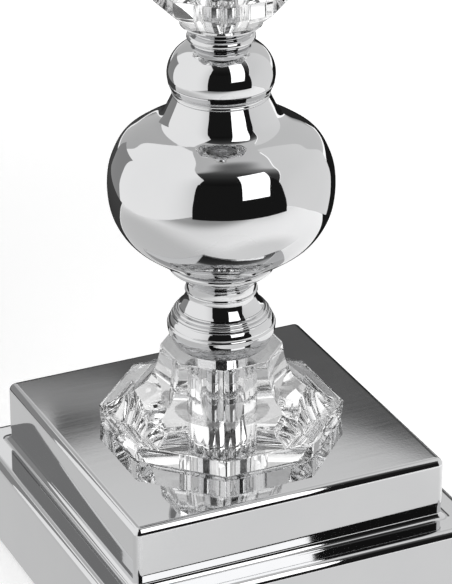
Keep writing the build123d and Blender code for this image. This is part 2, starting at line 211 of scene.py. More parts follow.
M = {
    "chrome": chrome("chrome_plate"),
    "chrome_top": chrome("chrome_plate_flat", 0.02, 0.06, 0.66, streak=(18, 520, 18)),
    "crystal": glass("crystal_glass", 1.545),
    "bulb_glass": glass("bulb_glass_clear", 1.47, (1.0, 0.995, 0.985)),
    "gasket": clear("clear_gasket"),
    "felt": None,
    "steel": plain("zinc_steel", (0.42, 0.42, 0.41), (0.58, 0.58, 0.57), (0.25, 0.42), 420, 1.0),
    "iron": plain("cast_iron", (0.045, 0.045, 0.047), (0.1, 0.098, 0.095), (0.55, 0.8), 240, 0.6, 2e-4, 0.6),
    "rubber": plain("black_rubber", (0.012, 0.012, 0.012), (0.03, 0.03, 0.03), (0.5, 0.7), 700, 0.0, 4e-5, 0.4),
    "brass": plain("brass_contact", (0.62, 0.43, 0.14), (0.8, 0.58, 0.24), (0.2, 0.36), 380, 1.0),
    "phenolic": plain("white_moulding", (0.72, 0.715, 0.7), (0.8, 0.795, 0.78), (0.16, 0.3), 520, 0.0, 1e-5, 0.2),
    "ceramic": plain("white_ceramic", (0.72, 0.71, 0.68), (0.82, 0.81, 0.79), (0.18, 0.3), 300),
    "aluminium": plain("cap_aluminium", (0.6, 0.6, 0.6), (0.76, 0.76, 0.75), (0.2, 0.34), 480, 1.0),
    "filament": plain("led_filament", (0.75, 0.5, 0.06), (0.9, 0.66, 0.16), (0.4, 0.6), 900),
    "wire": plain("lacquered_wire", (0.78, 0.78, 0.76), (0.86, 0.86, 0.84), (0.3, 0.5), 420),
    "liner": plain("shade_liner_white", (0.86, 0.855, 0.835), (0.92, 0.915, 0.895), (0.45, 0.6), 260, 0.0, 3e-5, 0.3),
    "fabric": weave("shade_linen", (0.6, 0.58, 0.54), (0.88, 0.86, 0.82), 1500, 1.2e-4),
    "trim": weave("shade_tape", (0.56, 0.54, 0.5), (0.84, 0.82, 0.78), 2600, 1.0e-4),
}


def felt_mat():
    m, nt, b = new_mat("felt_wool")
    v = coords(nt)
    fib = noise_tex(nt, coords(nt, scale=(1500, 260, 800)), 1.0, 5.0, 0.7)
    fib2 = noise_tex(nt, coords(nt, scale=(240, 1500, 800), rot=(0, 0, 0.5)), 1.0, 5.0, 0.7)
    mott = noise_tex(nt, v, 90.0, 4.0)
    f = math_node(nt, "ADD", math_node(nt, "MULTIPLY", math_node(nt, "ADD", fib, fib2), 0.35), math_node(nt, "MULTIPLY", mott, 0.3))
    L(nt, ramp(nt, f, (0.35, (0.012, 0.012, 0.013)), (0.65, (0.055, 0.055, 0.058))), b.inputs["Base Color"])
    b.inputs["Roughness"].default_value = 0.95
    b.inputs["Sheen Weight"].default_value = 0.4
    bump(nt, b, f, 0.8, 3e-4)
    return m


M["felt"] = felt_mat()


# =================================================================== geometry
def spline_pts(pts, step=0.3):
    """Natural cubic through the points, by chord length."""
    p = np.array(pts, float)
    t = np.concatenate([[0], np.cumsum(np.hypot(*np.diff(p, axis=0).T))])
    n = len(p)
    h = np.diff(t)
    a = np.zeros((n, n))
    a[0, 0] = a[-1, -1] = 1.0
    rhs = np.zeros((n, 2))
    for i in range(1, n - 1):
        a[i, i - 1], a[i, i], a[i, i + 1] = h[i - 1], 2 * (h[i - 1] + h[i]), h[i]
        rhs[i] = 6 * ((p[i + 1] - p[i]) / h[i] - (p[i] - p[i - 1]) / h[i - 1])
    m = np.linalg.solve(a, rhs)
    out = []
    for x in np.linspace(0, t[-1], max(int(t[-1] / step), 4) + 1)[1:]:
        i = min(int(np.searchsorted(t, x, "left")) - 1, n - 2)
        i = max(i, 0)
        d0, d1 = t[i + 1] - x, x - t[i]
        q = (m[i] * d0**3 + m[i + 1] * d1**3) / (6 * h[i]) + (p[i] / h[i] - m[i] * h[i] / 6) * d0 + (p[i + 1] / h[i] - m[i + 1] * h[i] / 6) * d1
        out.append((float(q[0]), float(q[1])))
    return out


def arc_pts(p, m, q, n=9):
    ax, ay, bx, by, cx, cy = *p, *m, *q
    d = 2 * (ax * (by - cy) + bx * (cy - ay) + cx * (ay - by))
    ux = ((ax**2 + ay**2) * (by - cy) + (bx**2 + by**2) * (cy - ay) + (cx**2 + cy**2) * (ay - by)) / d
    uy = ((ax**2 + ay**2) * (cx - bx) + (bx**2 + by**2) * (ax - cx) + (cx**2 + cy**2) * (bx - ax)) / d
    a0, a1, a2 = (math.atan2(y - uy, x - ux) for x, y in (p, m, q))
    turn = (a2 - a0) % (2 * math.pi)
    if (a1 - a0) % (2 * math.pi) > turn:
        turn -= 2 * math.pi
    r = math.hypot(ax - ux, ay - uy)
    return [(ux + r * math.cos(a0 + turn * k / n), uy + r * math.sin(a0 + turn * k / n)) for k in range(1, n)] + [q]


def section(start, *path):
    """Half section as points: two numbers a line, four an arc, a list a spline."""
    pts = [start]
    for s in path:
        if isinstance(s, list):
            pts += spline_pts([pts[-1]] + s)
        elif len(s) == 4:
            pts += arc_pts(pts[-1], s[:2], s[2:])
        else:
            pts.append(s)
    return pts


def lift(pts, dz=T):
    return [(r, z + dz) for r, z in pts]


def finish_mesh(name, verts, faces, mat, angle=28.0, uvs=None):
    me = bpy.data.meshes.new(name)
    me.from_pydata([tuple(c * MM for c in v) for v in verts], [], faces)
    me.validate()
    if uvs is not None:
        lay = me.uv_layers.new(name="yarns")
        for lp in me.loops:
            lay.data[lp.index].uv = uvs[lp.vertex_index]
    bm = bmesh.new()
    bm.from_mesh(me)
    bmesh.ops.recalc_face_normals(bm, faces=bm.faces)
    bm.to_mesh(me)
    bm.free()
    me.shade_smooth()
    me.set_sharp_from_angle(angle=math.radians(angle))
    me.materials.append(mat)
    ob = bpy.data.objects.new(name, me)
    col.objects.link(ob)
    return ob


def lathe(name, pts, mat, seg=128, angle=28.0):
    """Closed half section turned about Z; points on the axis become poles."""
    verts, faces, rows = [], [], []
    cs = [(math.cos(2 * math.pi * k / seg), math.sin(2 * math.pi * k / seg)) for k in range(seg)]
    for r, z in pts:
        if r < 1e-6:
            rows.append([len(verts)])
            verts.append((0, 0, z))
        else:
            rows.append(list(range(len(verts), len(verts) + seg)))
            verts += [(r * c, r * s, z) for c, s in cs]
    for i in range(len(rows)):
        a, b = rows[i], rows[(i + 1) % len(rows)]
        if len(a) == 1 and len(b) == 1:
            continue
        for k in range(seg):
            k2 = (k + 1) % seg
            if len(a) == 1:
                faces.append((a[0], b[k2], b[k]))
            elif len(b) == 1:
                faces.append((a[k], a[k2], b[0]))
            else:
                faces.append((a[k], a[k2], b[k2], b[k]))
    return finish_mesh(name, verts, faces, mat, angle)


def rounded_square(a, rc, n=6):
    """Outline of a square of half side a, corner radius rc, counter-clockwise."""
    out = []
    for i, (sx, sy) in enumerate(((1, 1), (-1, 1), (-1, -1), (1, -1))):
        cx, cy = sx * (a - rc), sy * (a - rc)
        for k in range(n + 1):
            t = math.radians(90 * i + 90 * k / n)
            out.append((cx + rc * math.cos(t), cy + rc * math.sin(t)))
    return out


def square_sweep(name, rows, mat, close_top=None, angle=28.0, n=6):
    """Loops of (half side, height, corner radius) from bottom outside to the end,
    joined in turn. close_top gives the radius of a round hole in the last one."""
    verts, faces, loops = [], [], []
    for a, z, rc in rows:
        ring = rounded_square(a, rc, n)
        loops.append(list(range(len(verts), len(verts) + len(ring))))
        verts += [(x, y, z) for x, y in ring]
    if close_top is not None:
        a, z, rc = rows[-1]
        ring = []
        for x, y in rounded_square(a, rc, n):
            d = math.hypot(x, y)
            ring.append((close_top * x / d, close_top * y / d, z))
        loops.append(list(range(len(verts), len(verts) + len(ring))))
        verts += ring
    for p, q in zip(loops, loops[1:]):
        m = len(p)
        for k in range(m):
            faces.append((p[k], p[(k + 1) % m], q[(k + 1) % m], q[k]))
    return finish_mesh(name, verts, faces, mat, angle)


def octagon_stone(name, levels, bore, mat, bevel=0.35):
    """Cut glass: octagons of (vertex radius, height) with fine softened arrises,
    drilled through."""
    me = bpy.data.meshes.new(name)
    bm = bmesh.new()
    rings = []
    for r, z in levels:
        rings.append([bm.verts.new((r * MM * math.cos(math.radians(22.5 + 45 * k)), r * MM * math.sin(math.radians(22.5 + 45 * k)), z * MM)) for k in range(8)])
    for p, q in zip(rings, rings[1:]):
        for k in range(8):
            bm.faces.new((p[k], p[(k + 1) % 8], q[(k + 1) % 8], q[k]))
    bm.faces.new(list(reversed(rings[0])))
    bm.faces.new(rings[-1])
    bmesh.ops.recalc_face_normals(bm, faces=bm.faces)
    bmesh.ops.bevel(bm, geom=list(bm.edges), offset=bevel * MM, segments=3, profile=0.5, affect="EDGES", clamp_overlap=True)
    # round hole: both flat ends get a ring of faces, and a wall joins the two
    ends = [max(bm.faces, key=lambda f: f.calc_area() * (f.normal.z > 0.99)), max(bm.faces, key=lambda f: f.calc_area() * (f.normal.z < -0.99))]
    seg = 96
    circles = []
    for f in ends:
        loop = list(f.verts)
        z = f.calc_center_median().z
        bm.faces.remove(f)
        loop.sort(key=lambda v: math.atan2(v.co.y, v.co.x))
        circ = [bm.verts.new((bore * MM * math.cos(-math.pi + 2 * math.pi * k / seg), bore * MM * math.sin(-math.pi + 2 * math.pi * k / seg), z)) for k in range(seg)]
        edges = []
        for ring in (loop, circ):
            for k in range(len(ring)):
                a, b = ring[k], ring[(k + 1) % len(ring)]
                edges.append(bm.edges.get((a, b)) or bm.edges.new((a, b)))
        bmesh.ops.triangle_fill(bm, use_beauty=True, use_dissolve=False, edges=edges)
        # the fill also closes the hole itself
        inside = [g for g in bm.faces if all(abs(v.co.z - z) < 1e-9 for v in g.verts) and all(math.hypot(v.co.x, v.co.y) < bore * MM * 1.0005 for v in g.verts)]
        bmesh.ops.delete(bm, geom=inside, context="FACES_ONLY")
        circles.append(circ)
    for k in range(seg):
        bm.faces.new((circles[0][k], circles[0][(k + 1) % seg], circles[1][(k + 1) % seg], circles[1][k]))
    bmesh.ops.recalc_face_normals(bm, faces=bm.faces)
    bm.to_mesh(me)
    bm.free()
    me.shade_smooth()
    me.set_sharp_from_angle(angle=math.radians(20))
    me.materials.append(mat)
    ob = bpy.data.objects.new(name, me)
    col.objects.link(ob)
    return ob


def flared_stone(name, levels, bore, mat, soft=0.3):
    """Cut glass with hollow facets: octagons of (vertex radius, height, crease),
    each corner softened by a narrow flat, drilled through. The facets stay flat
    across and curve only upward; crease marks a ground edge."""
    me = bpy.data.meshes.new(name)
    bm = bmesh.new()
    rings = []
    for r, z, _ in levels:
        ring = []
        for k in range(8):
            t = math.radians(22.5 + 45 * k)
            for side in (-1, 1):
                d = soft * side
                ring.append(bm.verts.new(((r * math.cos(t) - abs(d) * 0.38 * math.cos(t) - d * math.sin(t)) * MM,
                                          (r * math.sin(t) - abs(d) * 0.38 * math.sin(t) + d * math.cos(t)) * MM, z * MM)))
        rings.append(ring)
    n = 16
    for p, q in zip(rings, rings[1:]):
        for k in range(n):
            bm.faces.new((p[k], p[(k + 1) % n], q[(k + 1) % n], q[k]))
    seg = 96
    circles = []
    for ring, (r, z, _) in ((rings[0], levels[0]), (rings[-1], levels[-1])):
        circ = [bm.verts.new((bore * MM * math.cos(2 * math.pi * k / seg), bore * MM * math.sin(2 * math.pi * k / seg), z * MM)) for k in range(seg)]
        edges = [bm.edges.get((ring[k], ring[(k + 1) % n])) for k in range(n)]
        edges += [bm.edges.new((circ[k], circ[(k + 1) % seg])) for k in range(seg)]
        bmesh.ops.triangle_fill(bm, use_beauty=True, use_dissolve=False, edges=edges)
        inside = [g for g in bm.faces if all(abs(v.co.z - z * MM) < 1e-9 for v in g.verts) and all(math.hypot(v.co.x, v.co.y) < bore * MM * 1.0005 for v in g.verts)]
        bmesh.ops.delete(bm, geom=inside, context="FACES_ONLY")
        circles.append(circ)
    for k in range(seg):
        bm.faces.new((circles[0][k], circles[0][(k + 1) % seg], circles[1][(k + 1) % seg], circles[1][k]))
    bmesh.ops.recalc_face_normals(bm, faces=bm.faces)
    for f in bm.faces:
        f.smooth = True
    for e in bm.edges:
        e.smooth = True
    for i, (ring, lev) in enumerate(zip(rings, levels)):
        for k in range(n):
            if lev[2]:
                bm.edges.get((ring[k], ring[(k + 1) % n])).smooth = False
            if i + 1 < len(rings):
                bm.edges.get((ring[k], rings[i + 1][k])).smooth = False
    for circ in circles:
        for k in range(seg):
            bm.edges.get((circ[k], circ[(k + 1) % seg])).smooth = False
    bm.to_mesh(me)
    bm.free()
    me.materials.append(mat)
    ob = bpy.data.objects.new(name, me)
    col.objects.link(ob)
    return ob


def put(ob, body, slot, *replaced):
    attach(ob, body)
    if replaced:
        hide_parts(*replaced)
    return ob


# ------------------------------------------------------------- plinths and felt
UP, UPZ, E, C = 65.0, 43.0, 3.2, 3.0
rows = [(UP - 1.6, UPZ, 1.4), (UP - 0.2, UPZ, 2.8), (UP - 0.06, UPZ + 0.02, C - 0.05), (UP, UPZ + 0.1, C), (UP, UPZ + 0.4, C), (UP, T - E - 0.5, C), (UP, T - E - 0.1, C)]
for k in range(0, 17):
    t = math.radians(90 * k / 16)
    a = UP - E + E * math.cos(t)
    rows.append((a, T - E + E * math.sin(t), max(C - (UP - a), 0.3)))
rows += [(UP - E - 0.12, T, 0.28), (UP - E - 0.6, T, 0.25), (UP - E - 4.0, T, 0.2)]
top = square_sweep("upper_plinth_skin", rows, M["chrome_top"], close_top=FIT_R)
put(top, "base", "chrome", "upper_plinth")

LEDGE, LOW_E = T - 25.6, 3.3
low_rows = [(75.2, 2.0), (76.9, 2.0), (77.0, 2.15), (77.0, LEDGE - LOW_E - 0.5), (77.0, LEDGE - LOW_E - 0.1)]
for k in range(17):
    t = math.radians(90 * k / 16)
    low_rows.append((77.0 - LOW_E + LOW_E * math.cos(t), LEDGE - LOW_E + LOW_E * math.sin(t)))
low_rows += [(77.0 - LOW_E - 0.12, LEDGE), (77.0 - LOW_E - 0.6, LEDGE), (68.0, LEDGE), (67.5, LEDGE)]
for k in range(13):
    t = math.radians(90 * k / 12)
    low_rows.append((67.4 - 2.6 * math.sin(t), LEDGE + 2.6 - 2.6 * math.cos(t)))
low_rows += [(64.8, LEDGE + 2.7), (64.8, LEDGE + 3.2), (64.8, UPZ), (60.0, UPZ)]
low_skin = square_sweep("lower_plinth_skin", [(a, z, 3.4 if a > 73.6 else 3.0) for a, z in low_rows], M["chrome"], n=8)
put(low_skin, "base", "chrome", "lower_plinth")

felt_rows = [(75.5, 0.0, 4.0), (75.5, 0.5, 4.0), (75.5, 1.5, 4.0), (75.3, 2.0, 3.9)]


# ------------------------------------------------------------------- felt pad
def felt_pad():
    verts, faces = [], []
    n = 60
    ring = rounded_square(75.5, 4.0, 8)
    dense = []
    for i in range(len(ring)):
        a, b = ring[i], ring[(i + 1) % len(ring)]
        k = max(int(math.dist(a, b) / 1.2), 1)
        dense += [(a[0] + (b[0] - a[0]) * j / k, a[1] + (b[1] - a[1]) * j / k) for j in range(k)]
    m = len(dense)
    loops = []
    for share, z in ((0.0, 0.0), (0.5, 0.0), (0.92, 0.0), (0.99, 0.03), (1.0, 0.25), (1.0, 1.0), (1.0, 1.75), (0.99, 1.98), (0.92, 2.0), (0.5, 2.0), (0.0, 2.0)):
        if share == 0.0:
            loops.append([len(verts)])
            verts.append((0, 0, z))
            continue
        row = []
        for x, y in dense:
            fuzz = 0.12 * noise.noise(Vector((x * 0.9, y * 0.9, z * 2))) if share > 0.98 else 0.0
            d = math.hypot(x, y)
            row.append(len(verts))
            verts.append((x * share + fuzz * x / d, y * share + fuzz * y / d, z))
        loops.append(row)
    for p, q in zip(loops, loops[1:]):
        for k in range(m):
            k2 = (k + 1) % m
            if len(p) == 1:
                faces.append((p[0], q[k2], q[k]))
            elif len(q) == 1:
                faces.append((p[k], p[k2], q[0]))
            else:
                faces.append((p[k], p[k2], q[k2], q[k]))
    return finish_mesh("felt_pad_cloth", verts, faces, M["felt"], 50)


felt = felt_pad()
put(felt, "base", "felt", "felt_pad")

# ---------------------------------------------------------- turned chrome column
turned = {
    "foot_cup": section(
        (FIT_R, 34.6), (15.0, 34.6), (18.0, 35.3, 19.2, 37.0), [(20.25, 39.5), (20.9, 41.8), (21.05, 43.4)],
        (21.0, 44.0, 20.6, 44.45), (20.4, 44.6), (20.1, 45.9, 19.4, 47.1), (19.1, 47.3), (19.0, 47.8), (FIT_R, 47.8)),
    "foot_ring": section(
        (FIT_R, 47.8), (18.7, 47.8), (18.85, 48.5, 17.95, 49.0), (17.75, 49.1), (17.75, 49.9, 16.9, 50.3),
        (16.4, 50.5), (16.3, 51.0), (FIT_R, 51.0)),
    "spool": section(
        (FIT_R, 51.0), (16.0, 51.0), (16.3, 51.25),
        [(15.69, 52.0), (15.05, 53.0), (14.49, 54.0), (14.07, 55.0), (13.84, 56.0), (13.74, 57.4)],
        (14.0, 57.6), (14.12, 58.0, 14.0, 58.4), (13.55, 58.6),
        [(13.5, 60.0), (13.9, 62.0), (15.38, 64.0), (17.64, 66.0), (19.1, 67.1)],
        (19.5, 67.3), (20.25, 67.9, 20.5, 68.8), (20.45, 69.5, 19.9, 70.0), (FIT_R, 70.0)),
    "ball_collar": section(
        (FIT_R, 139.0), (18.2, 139.0), (18.62, 139.5, 18.3, 140.0), (18.25, 140.2),
        [(18.45, 141.0), (18.95, 141.8)], (19.15, 142.0), [(19.55, 142.9), (20.0, 144.0)],
        (19.95, 144.3), (19.6, 144.5), (FIT_R, 144.5)),
    "knop": section(
        (FIT_R, 144.5), (19.7, 144.5), (20.1, 144.7),
        [(20.42, 147.0), (20.25, 149.5), (19.45, 152.2), (17.9, 154.9), (15.4, 157.4), (12.4, 159.3), (11.2, 159.8)],
        (11.0, 160.6), (FIT_R, 160.6)),
    "neck_ring": section(
        (FIT_R, 160.6), (11.4, 160.6), (13.0, 162.2, 11.4, 163.8), (10.7, 164.0), (10.7, 164.5),
        [(11.3, 165.4), (13.0, 166.5), (15.0, 167.2)], (15.5, 167.5), (15.5, 168.0), (FIT_R, 168.0)),
    "crystal_cup": section(
        (FIT_R, 193.2), (13.0, 193.2), (15.6, 194.4, 16.6, 197.0), (16.6, 199.6, 15.0, 201.3),
        (14.3, 201.6), (15.0, 202.5, 14.1, 203.3), [(12.4, 205.0), (11.2, 206.6), (10.8, 208.0)], (FIT_R, 208.0)),
    "column_tube": section(
        (FIT_R, 208.0), (10.4, 208.0), (11.6, 209.2, 10.4, 210.4),
        [(9.4, 212.0), (8.6, 220.0), (8.3, 235.0), (8.9, 270.0), (9.5, 310.0), (9.3, 350.0), (8.5, 395.0), (8.1, 415.0),
         (8.3, 426.0), (9.4, 435.0), (9.9, 436.6)],
        (11.3, 438.0, 10.1, 439.4), (9.9, 440.0), (FIT_R, 440.0)),
    "holder_cup": section(
        (FIT_R, 262.0), (10.8, 262.0), (11.2, 262.5),
        [(11.5, 264.0), (13.3, 268.0), (17.4, 272.4), (20.3, 275.0)], (21.0, 275.5), (21.0, 276.4), (20.4, 276.8),
        (19.9, 276.4), [(16.8, 273.4), (13.0, 270.2), (10.6, 268.6)], (9.4, 268.0), (FIT_R, 268.0)),
}
for name, pts in turned.items():
    put(lathe(name + "_turned", lift(pts, T + (RISE if name == "holder_cup" else 0.0)), M["chrome"]), "base", "chrome", name)

# Spun ball: one smooth line from the lower seat over the waist and the shoulder.
ball_line = [
    (17.6, 70.2), (24.6, 73.2), (30.17, 77.0), (34.08, 80.0), (37.79, 84.0), (40.24, 88.0),
    (41.91, 92.0), (42.84, 96.0), (43.26, 100.0), (43.35, 103.0), (43.2, 106.0), (42.6, 110.0),
    (41.26, 114.0), (39.9, 117.0), (38.72, 119.0), (36.9, 121.0), (34.2, 122.95), (31.2, 124.95),
    (28.2, 126.6), (25.4, 128.0), (23.6, 129.15), (22.6, 130.2), (21.9, 131.3), (21.3, 132.6), (20.55, 134.2),
    (19.75, 135.9), (18.95, 137.6), (18.35, 139.0),
]


def fair(pts, step=0.5, passes=60):
    """Even points along the line, with small unevenness taken out of its bend."""
    p = np.array([pts[0]] + spline_pts(pts, step))
    q = p.copy()
    for _ in range(passes):
        d = np.zeros_like(q)
        d[1:-1] = 0.5 * (q[:-2] + q[2:]) - q[1:-1]
        dd = np.zeros_like(q)
        dd[1:-1] = 0.5 * (d[:-2] + d[2:]) - d[1:-1]
        q[2:-2] -= 0.5 * dd[2:-2]
    return [tuple(map(float, x)) for x in q]


ball_out = fair(ball_line)
ball_in = [(16.0, 138.95), (14.0, 136.0), (14.0, 72.0)]
ball = lathe("ball_body_spun", lift([(FIT_R, 70.05), (16.6, 70.05)] + ball_out + ball_in + [(FIT_R, 72.0)]), M["chrome"], 160)
put(ball, "base", "chrome", "ball_body")

rod = lathe("centre_rod_tube", [(3.6, 4.6), (5.0, 4.6), (5.0, T + RISE + 277.5), (3.6, T + RISE + 277.5)], M["chrome"], 64)
put(rod, "base", "chrome", "centre_rod")

# ------------------------------------------------------------------- crystals
def flare(z):
    """Vertex radius of the foot's hollow flanks at a height above the plinth."""
    return 23.1 + 24.9 * math.exp(-(z - 7.7) / 7.4)


stone = [(47.2, 0.8, True), (47.5, 1.1, True), (48.0, 7.45, True), (47.75, 7.75, True)]
stone += [(flare(7.85 + (33.7 - 7.85) * (k / 60) ** 1.6), 7.85 + (33.7 - 7.85) * (k / 60) ** 1.6, False) for k in range(61)]
stone += [(flare(33.7) - 0.3, 34.0, True)]
foot = flared_stone("crystal_base_cut", [(r, T + z, c) for r, z, c in stone], 10.3, M["crystal"])
put(foot, "base", "crystal", "crystal_base")
upper = octagon_stone("upper_crystal_cut", [(15.5, T + 168.6), (25.4, T + 176.4), (26.0, T + 182.6), (15.0, T + 192.6)], 7.0, M["crystal"])
put(upper, "base", "crystal", "upper_crystal")

# ---------------------------------------------------------------------- shade
SH_BOT_R, SH_TOP_R, SH_BOT, SH_TOP = 127.0, 102.0, T + RISE + 292.0, T + RISE + 492.0
SLOPE = (SH_BOT_R - SH_TOP_R) / (SH_TOP - SH_BOT)


def shade_r(z):
    return SH_BOT_R - SLOPE * (z - SH_BOT)


def cone_cloth(name, z0, z1, inner, outer, mat, seg=192, rows=24, wave=0.0, seed=0.0, lap=None):
    """Conical cloth between two offsets from the shade's face. lap is the angle of
    the glued overlap at the back, where the cloth lies double."""
    verts, faces, uvs = [], [], []
    grid = []
    for side in (outer, inner):
        g = []
        for i in range(rows + 1):
            z = z0 + (z1 - z0) * i / rows
            row = []
            for k in range(seg):
                t = 2 * math.pi * k / seg
                w = wave * noise.noise(Vector((math.cos(t) * 3 + seed, math.sin(t) * 3, z * 0.02)))
                r = shade_r(z) + side + w
                if lap is not None and side == outer:
                    r += 0.35 * (abs(((t - lap + math.pi) % (2 * math.pi)) - math.pi) * shade_r(z) < 5.0)
                row.append(len(verts))
                verts.append((r * math.cos(t), r * math.sin(t), z))
                uvs.append((t * 0.12, (z - z0) * MM))
            g.append(row)
        grid.append(g)
    for s, g in enumerate(grid):
        for a, b in zip(g, g[1:]):
            for k in range(seg):
                k2 = (k + 1) % seg
                f = (a[k], a[k2], b[k2], b[k])
                faces.append(f if s == 0 else tuple(reversed(f)))
    for a, b in ((grid[0][0], grid[1][0]), (grid[1][-1], grid[0][-1])):
        for k in range(seg):
            k2 = (k + 1) % seg
            faces.append((b[k], b[k2], a[k2], a[k]))
    return finish_mesh(name, verts, faces, mat, 40, uvs)


fabric = cone_cloth("shade_fabric_linen", SH_BOT, SH_TOP, -0.8, 0.0, M["fabric"], 256, 32, 0.08, 1.7, lap=math.pi / 2)
put(fabric, "shade", "fabric", "shade_fabric")
liner = cone_cloth("shade_liner_film", SH_BOT, SH_TOP, -1.5, -0.82, M["liner"], 192, 12, 0.0)
put(liner, "shade", "liner", "shade_liner")
trim_b = cone_cloth("shade_trim_bottom_tape", SH_BOT - 0.2, SH_BOT + 10.0, 0.02, 0.7, M["trim"], 256, 6, 0.12, 4.2)
put(trim_b, "shade", "trim", "shade_trim_bottom")
trim_t = cone_cloth("shade_trim_top_tape", SH_TOP - 10.0, SH_TOP + 0.2, 0.02, 0.7, M["trim"], 256, 6, 0.12, 7.9)
put(trim_t, "shade", "trim", "shade_trim_top")

# ------------------------------------------------ finishes of the remaining CAD
finish = {
    "base_cover": "steel", "cover_posts": "brass", "cover_screws": "steel", "ballast_block": "iron",
    "flat_washer": "steel", "lock_washer": "steel", "bottom_nut": "brass", "cable_grommet": "rubber",
    "crystal_gasket_lower": "gasket", "crystal_gasket_upper": "gasket", "upper_crystal_gaskets": "gasket",
    "rod_top_nut": "brass", "holder_cap": "phenolic", "switch_block": "phenolic", "switch_bar": "ceramic",
    "holder_insert": "ceramic", "holder_sleeve": "phenolic", "holder_shell": "brass", "centre_contact": "brass",
    "shade_ring_lower": "phenolic", "shade_ring_upper": "phenolic", "bulb_tip": "steel", "bulb_insulator": "phenolic",
    "bulb_cap": "aluminium", "bulb_glass": "bulb_glass", "bulb_stem": "bulb_glass", "bulb_filaments": "filament",
    "shade_carrier": "wire", "shade_arms": "wire", "shade_bottom_wire": "wire", "shade_top_wire": "wire",
}
for node, slot in finish.items():
    ob = nodes[node]
    ob.data.materials.clear()
    ob.data.materials.append(M[slot])

for ob in (fabric, liner, trim_b, trim_t, nodes["shade_carrier"], nodes["shade_arms"], nodes["shade_bottom_wire"], nodes["shade_top_wire"]):
    ob.visible_glossy = False            # the polished ball shows the open studio overhead

# ================================================================ studio and view
AZ, EL, DIST = math.radians(-24.855), math.radians(26.375), 1.22118
back = Vector((math.sin(AZ) * math.cos(EL), -math.cos(AZ) * math.cos(EL), math.sin(EL)))
right = Vector((math.cos(AZ), math.sin(AZ), 0.0))
target = right * 0.0018 + Vector((0, 0, 0.063 + 0.055976))
cam_data = bpy.data.cameras.new("camera")
cam_data.sensor_width = 36.0
cam_data.lens = 195.33
cam_data.clip_start, cam_data.clip_end = 0.05, 60.0
cam = bpy.data.objects.new("camera", cam_data)
cam.location = target + back * DIST
cam.rotation_mode = "QUATERNION"
cam.rotation_quaternion = (-back).to_track_quat("-Z", "Y")
col.objects.link(cam)
bpy.context.scene.camera = cam


def stage_plane(name, corners, mat):
    me = bpy.data.meshes.new(name)
    me.from_pydata([tuple(c) for c in corners], [], [tuple(range(len(corners)))])
    me.materials.append(mat)
    ob = bpy.data.objects.new(name, me)
    col.objects.link(ob)
    return ob


def floor_mat(name, mirrored):
    """White table with painted light: it glows a little stronger to the right and to the back. The copy that the
    polished metal mirrors also has painted shade, its glow and colour falling off to the front; the one in view stays
    pale, with more painted glow further from the lamp."""
    m, nt, b = new_mat(name)
    v = coords(nt)
    n = noise_tex(nt, v, 260.0, 4.0)
    base = ramp(nt, n, (0.3, (0.8, 0.8, 0.8)), (0.7, (0.84, 0.84, 0.84)))
    b.inputs["Roughness"].default_value = 0.7
    b.inputs["Specular IOR Level"].default_value = 0.2
    L(nt, ramp(nt, n, (0.3, (0.98, 0.98, 0.98)), (0.7, (1, 1, 1))), b.inputs["Emission Color"])
    sep = N(nt, "ShaderNodeSeparateXYZ")
    L(nt, v, sep.inputs[0])
    across = math_node(nt, "SUBTRACT", math_node(nt, "MULTIPLY", sep.outputs[0], 0.907), math_node(nt, "MULTIPLY", sep.outputs[1], 0.42))
    # painted light: the floor glows weaker on the left and stronger on the right
    side = remap(nt, across, -0.3, 0.3, FLOOR_LEFT, FLOOR_RIGHT, True)
    far = remap(nt, sep.outputs[1], 0.15, 0.9, 0.0, FLOOR_FAR, True)
    front = math_node(nt, "ADD", math_node(nt, "MULTIPLY", sep.outputs[0], -0.42), math_node(nt, "MULTIPLY", sep.outputs[1], -0.907))
    if not mirrored:
        # painted light: the copy in view glows more further from the lamp
        reach = N(nt, "ShaderNodeVectorMath", operation="LENGTH")
        L(nt, v, reach.inputs[0])
        around = remap(nt, reach.outputs["Value"], 0.25, 0.9, 0.0, FLOOR_FAR, True)
        L(nt, math_node(nt, "ADD", side, math_node(nt, "MAXIMUM", far, around)), b.inputs["Emission Strength"])
        L(nt, base, b.inputs["Base Color"])
        return m
    # painted shade: the mirrored copy's glow and colour darken towards the front
    painted_front_shade = remap(nt, math_node(nt, "SUBTRACT", front, math_node(nt, "MULTIPLY", across, 0.5)), 0.34, 0.62, 1.0, 0.45, True)
    L(nt, math_node(nt, "MULTIPLY", math_node(nt, "ADD", side, far), painted_front_shade), b.inputs["Emission Strength"])
    shade = N(nt, "ShaderNodeMix", data_type="RGBA", blend_type="MULTIPLY")
    shade.inputs[0].default_value = 1.0
    L(nt, base, shade.inputs[6])
    L(nt, ramp(nt, painted_front_shade, (0.0, (0, 0, 0)), (1.0, (1, 1, 1))), shade.inputs[7])
    L(nt, shade.outputs[2], b.inputs["Base Color"])
    return m


# glow strengths of the floor's painted light
FLOOR_LEFT, FLOOR_RIGHT, FLOOR_FAR = 0.34, 0.62, 0.5
mirrored_floor = stage_plane("floor_mirrored", [(-9, -9, 0), (9, -9, 0), (9, 9, 0), (-9, 9, 0)], floor_mat("floor_white", True))
mirrored_floor.visible_camera = False
floor = stage_plane("floor", [(-9, -9, 0.0003), (9, -9, 0.0003), (9, 9, 0.0003), (-9, 9, 0.0003)], floor_mat("floor_pale", False))


def light_mat(name, strength, end=None, along=(0, 0, 1), p0=0.0, p1=1.0):
    """Even glow, or one that changes from strength to end between two distances
    along a direction."""
    m = bpy.data.materials.new(name)
    m.use_nodes = True
    nt = m.node_tree
    nt.nodes.clear()
    out = N(nt, "ShaderNodeOutputMaterial")
    em = N(nt, "ShaderNodeEmission")
    L(nt, em.outputs[0], out.inputs[0])
    if end is None:
        em.inputs["Strength"].default_value = strength
    else:
        dot = N(nt, "ShaderNodeVectorMath", operation="DOT_PRODUCT")
        L(nt, coords(nt), dot.inputs[0])
        dot.inputs[1].default_value = along
        L(nt, remap(nt, dot.outputs["Value"], p0, p1, strength, end, True), em.inputs["Strength"])
    return m


